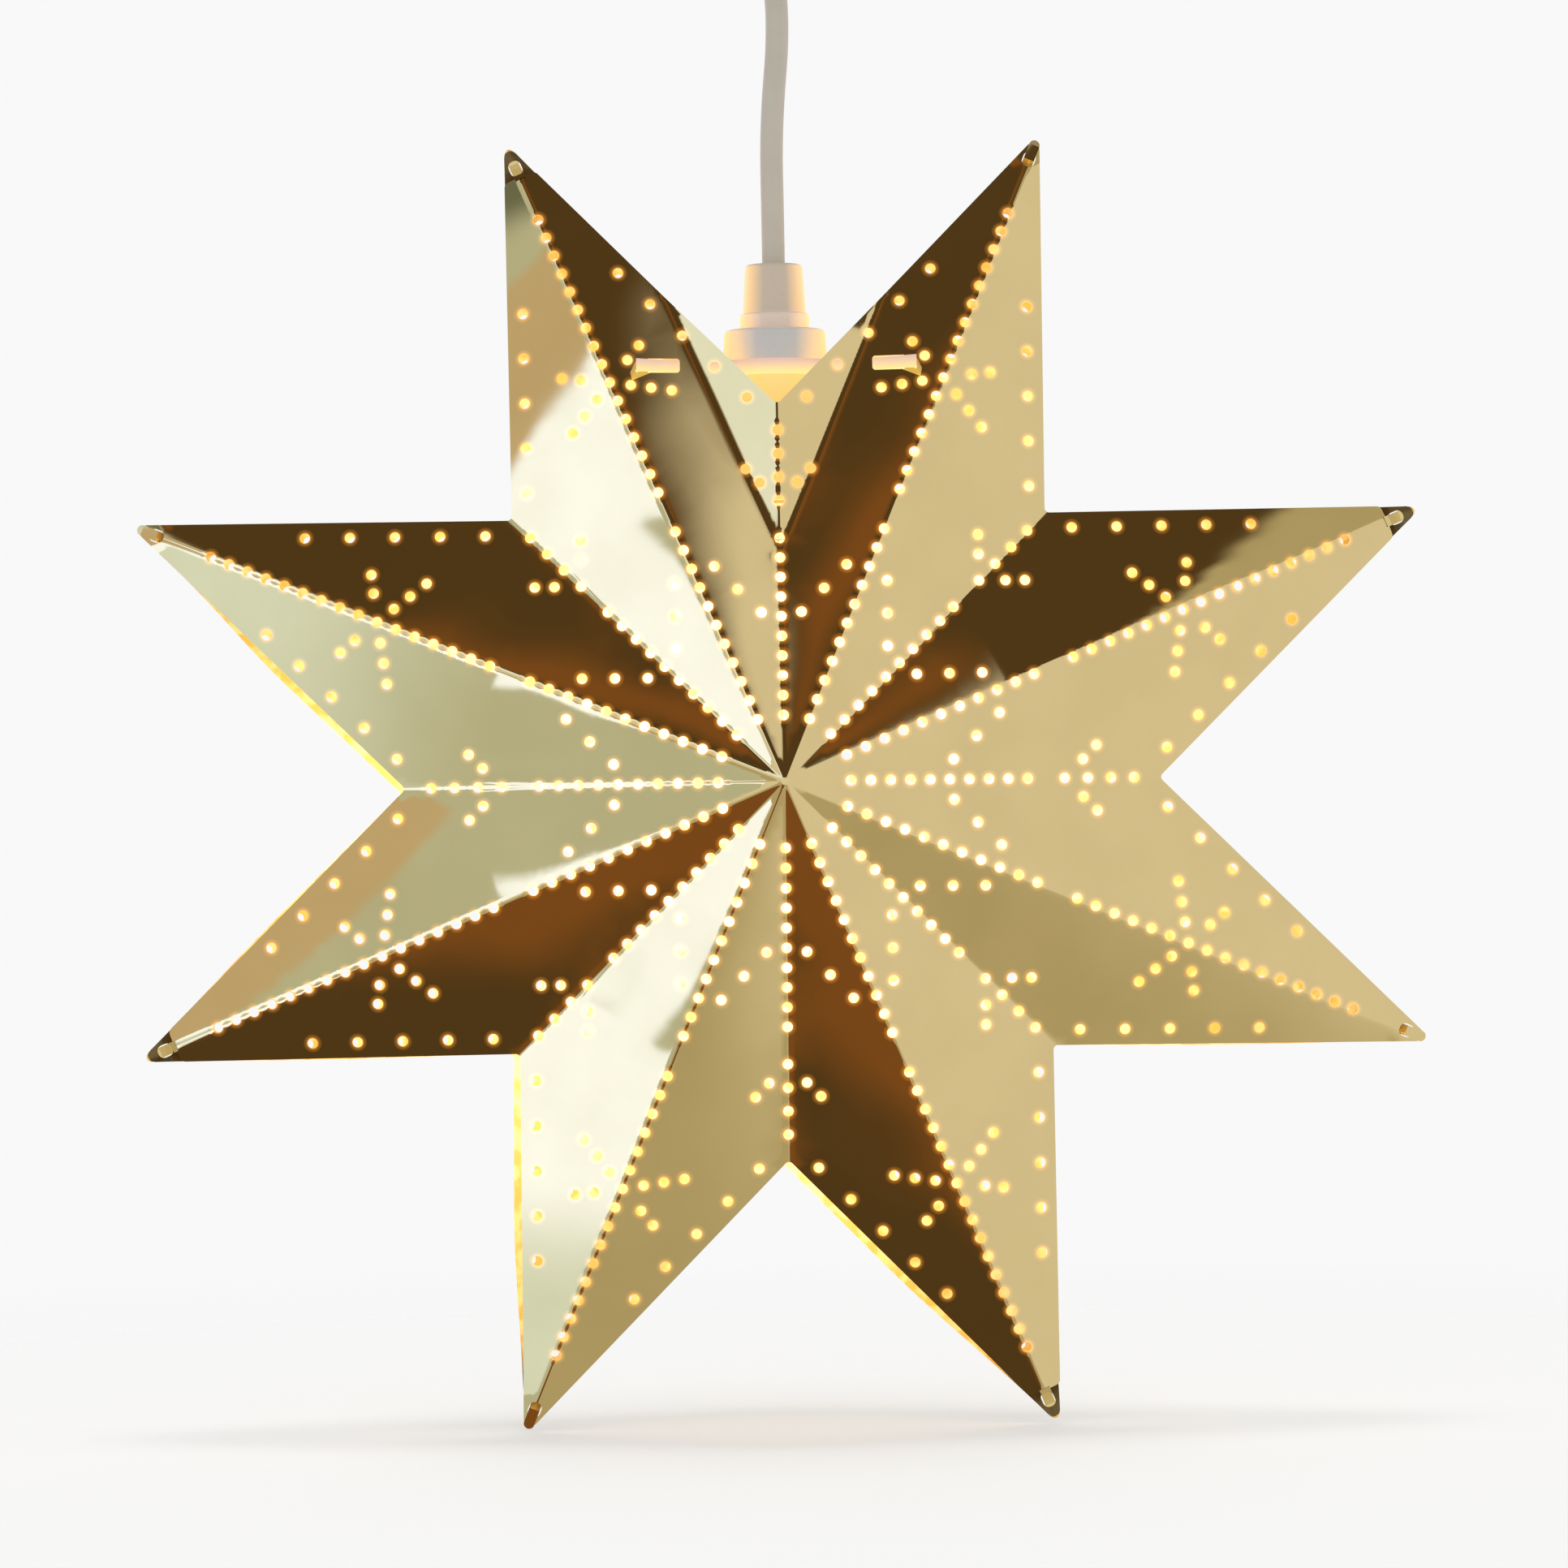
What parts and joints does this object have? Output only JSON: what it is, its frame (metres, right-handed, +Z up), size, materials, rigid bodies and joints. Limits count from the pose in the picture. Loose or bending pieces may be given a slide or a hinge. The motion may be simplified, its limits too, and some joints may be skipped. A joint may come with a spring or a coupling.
{
  "type": "pendant star lamp",
  "caption": "Eight-pointed star lamp of folded, punched brass sheet round a small bulb, hung by its cord from a ceiling cup; it swings and turns.",
  "frame": {"origin": "on the ceiling, midway between the two ceiling screws", "axes": "+Z up, away from the lamp into the ceiling; -Y is the star's front, +X its right from the front"},
  "size_m": [0.3368, 0.113, 0.4534],
  "materials": {
    "star_brass": "mirror-polished sheet",
    "holder_plastic": "satin, a little translucent",
    "white_cover": "satin moulded",
    "white_fitting": "satin moulded",
    "cord_sheath": "smooth round sheath",
    "core_sheath": "smooth sheath",
    "terminal_plastic": "moulded",
    "insert_plastic": "moulded",
    "contact_brass": "bright",
    "zinc_steel": "zinc plated",
    "bulb_metal": "bright",
    "black_insulator": "glossy",
    "clear_glass": "clear",
    "filament_glow": "warm light-giving coat"
  },
  "bodies": {
    "ceiling": {"ceiling_plate": "zinc_steel", "ceiling_cup": "white_cover", "cup_screws": "zinc_steel"},
    "swivel": {"swivel_bush": "white_fitting", "bush_ring": "white_fitting", "sway_pins": "zinc_steel"},
    "gimbal": {"gimbal_ring": "zinc_steel", "swing_pins": "zinc_steel"},
    "pendant": {"cord_grip": "zinc_steel", "grip_screw": "zinc_steel", "top_cores": "core_sheath", "terminal_block": "terminal_plastic", "terminal_screws": "contact_brass", "cord": "cord_sheath", "holder_cap": "holder_plastic", "cord_clamp": "holder_plastic", "holder_cores": "core_sheath", "contact_block": "insert_plastic", "contact_screws": "contact_brass", "screw_shell": "contact_brass", "centre_contact": "contact_brass", "holder_bracket": "holder_plastic", "holder_body": "holder_plastic", "front_shell": "star_brass", "back_shell": "star_brass"},
    "bulb_base": {"bulb_cap": "bulb_metal"},
    "bulb": {"cap_insulator": "black_insulator", "cap_eyelet": "bulb_metal", "bulb_glass": "clear_glass", "bulb_stem": "clear_glass", "bulb_filaments": "filament_glow", "filament_wires": "zinc_steel"}
  },
  "joints": [
    {"name": "turn", "type": "hinge", "parent": "ceiling", "child": "swivel", "pos_m": [0, 0, -0.056], "axis": [0, 0, 1], "range_deg": [-180, 180]},
    {"name": "sway", "type": "hinge", "parent": "swivel", "child": "gimbal", "pos_m": [0, 0, -0.056], "axis": [0, 1, 0], "range_deg": [-20, 20]},
    {"name": "swing", "type": "hinge", "parent": "gimbal", "child": "pendant", "pos_m": [0, 0, -0.056], "axis": [1, 0, 0], "range_deg": [-20, 20]},
    {"name": "bulb_travel", "type": "slide", "parent": "pendant", "child": "bulb_base", "axis": [0, 0, -1], "range_m": [0, 0.0085]},
    {"name": "bulb_turn", "type": "hinge", "parent": "bulb_base", "child": "bulb", "pos_m": [0, 0, -0.285], "axis": [0, 0, -1], "range_deg": [0, 1080]}
  ],
  "couplings": [
    {"joint": "bulb_travel", "follows": "bulb_turn", "m_per_rad": 0.00044882}
  ]
}
